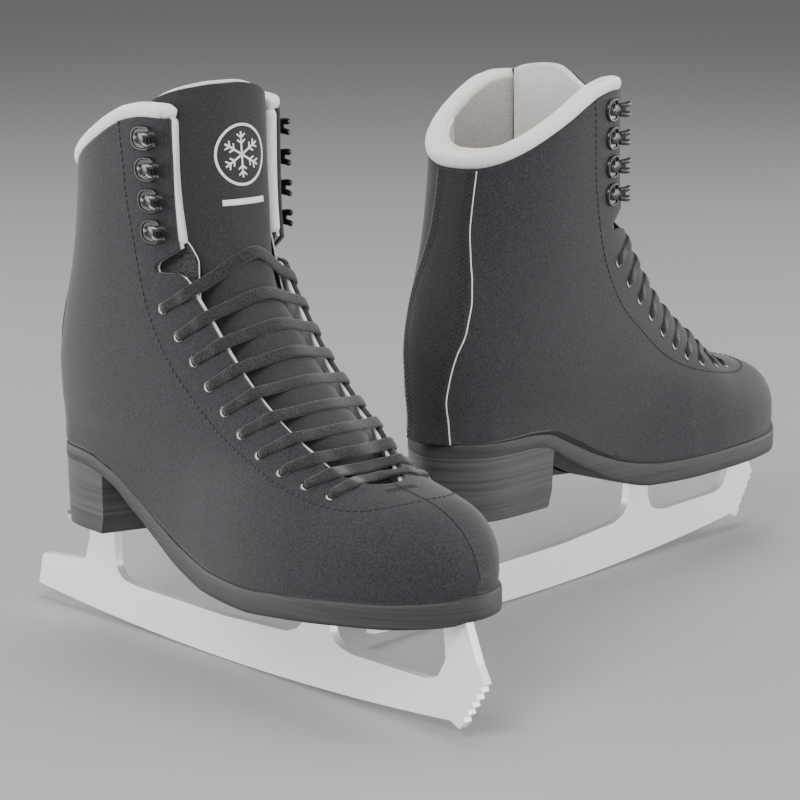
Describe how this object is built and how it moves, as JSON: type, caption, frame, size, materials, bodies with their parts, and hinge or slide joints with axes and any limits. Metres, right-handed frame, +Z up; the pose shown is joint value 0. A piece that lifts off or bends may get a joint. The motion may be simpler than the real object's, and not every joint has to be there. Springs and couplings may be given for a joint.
{
  "type": "figure skates",
  "caption": "Pair of black leather figure skates with padded collars, laced uppers, stacked heels and steel blades with toe picks.",
  "frame": {"origin": "centre of the pair's bounding box, on the ice surface that the blades stand on", "axes": "+Z up; -Y is the side the pair is seen from, with the right skate in front and to the left, its toe towards +X and -Y, and the left skate behind it with its toe towards +X and +Y"},
  "size_m": [0.3572, 0.369, 0.2525],
  "materials": {
    "blade_steel": "satin",
    "plate_steel": "satin",
    "screw_steel": "polished",
    "heel_rubber": "matte",
    "heel_stack": "semi-gloss lacquered stack",
    "sole_rubber": "satin",
    "shank_steel": "plain",
    "board_fibre": "fibreboard",
    "footbed_foam": "brushed cloth on foam",
    "stiffener": "plain",
    "upper_leather": "nubuck microfibre",
    "lining_fleece": "brushed fleece",
    "collar_fleece": "fleece",
    "tongue_leather": "nubuck microfibre",
    "tongue_lining": "fleece",
    "eyelet_black": "gloss black",
    "hook_black": "gloss black",
    "lace_braid": "flat braid"
  },
  "bodies": {
    "right_skate": {"right_blade_runner": "blade_steel", "right_sole_plate": "plate_steel", "right_heel_plate": "plate_steel", "right_sole_screws": "screw_steel", "right_heel_screws": "screw_steel", "right_heel_cap": "heel_rubber", "right_heel_stack": "heel_stack", "right_outsole": "sole_rubber", "right_shank": "shank_steel", "right_insole_board": "board_fibre", "right_footbed": "footbed_foam", "right_heel_counter": "stiffener", "right_toe_puff": "stiffener", "right_quarter_outer": "upper_leather", "right_quarter_inner": "upper_leather", "right_lining": "lining_fleece", "right_back_counter_panel": "upper_leather", "right_collar_roll": "collar_fleece", "right_ankle_padding": "lining_fleece", "right_tongue_lower": "tongue_leather", "right_eyelets": "eyelet_black", "right_lace_hooks": "hook_black", "right_lace": "lace_braid"},
    "right_tongue": {"right_tongue_top": "tongue_leather", "right_tongue_top_lining": "tongue_lining"},
    "left_skate": {"left_blade_runner": "blade_steel", "left_sole_plate": "plate_steel", "left_heel_plate": "plate_steel", "left_sole_screws": "screw_steel", "left_heel_screws": "screw_steel", "left_heel_cap": "heel_rubber", "left_heel_stack": "heel_stack", "left_outsole": "sole_rubber", "left_shank": "shank_steel", "left_insole_board": "board_fibre", "left_footbed": "footbed_foam", "left_heel_counter": "stiffener", "left_toe_puff": "stiffener", "left_quarter_outer": "upper_leather", "left_quarter_inner": "upper_leather", "left_lining": "lining_fleece", "left_back_counter_panel": "upper_leather", "left_collar_roll": "collar_fleece", "left_ankle_padding": "lining_fleece", "left_tongue_lower": "tongue_leather", "left_eyelets": "eyelet_black", "left_lace_hooks": "hook_black", "left_lace": "lace_braid"},
    "left_tongue": {"left_tongue_top": "tongue_leather", "left_tongue_top_lining": "tongue_lining"}
  },
  "joints": [
    {"name": "right_tongue_flex", "type": "hinge", "parent": "right_skate", "child": "right_tongue", "pos_m": [-0.07691, -0.07337, 0.17803], "axis": [0.7385, 0.6743, 0], "range_deg": [0, 45], "stiffness_Nm_per_rad": 0.08},
    {"name": "left_glide", "type": "slide", "parent": "right_skate", "child": "left_skate", "axis": [0.6455, 0.7638, 0], "range_m": [0, 0.3]},
    {"name": "left_tongue_flex", "type": "hinge", "parent": "left_skate", "child": "left_tongue", "pos_m": [0.07369, 0.06966, 0.17803], "axis": [-0.7638, 0.6455, 0], "range_deg": [0, 45], "stiffness_Nm_per_rad": 0.08}
  ]
}
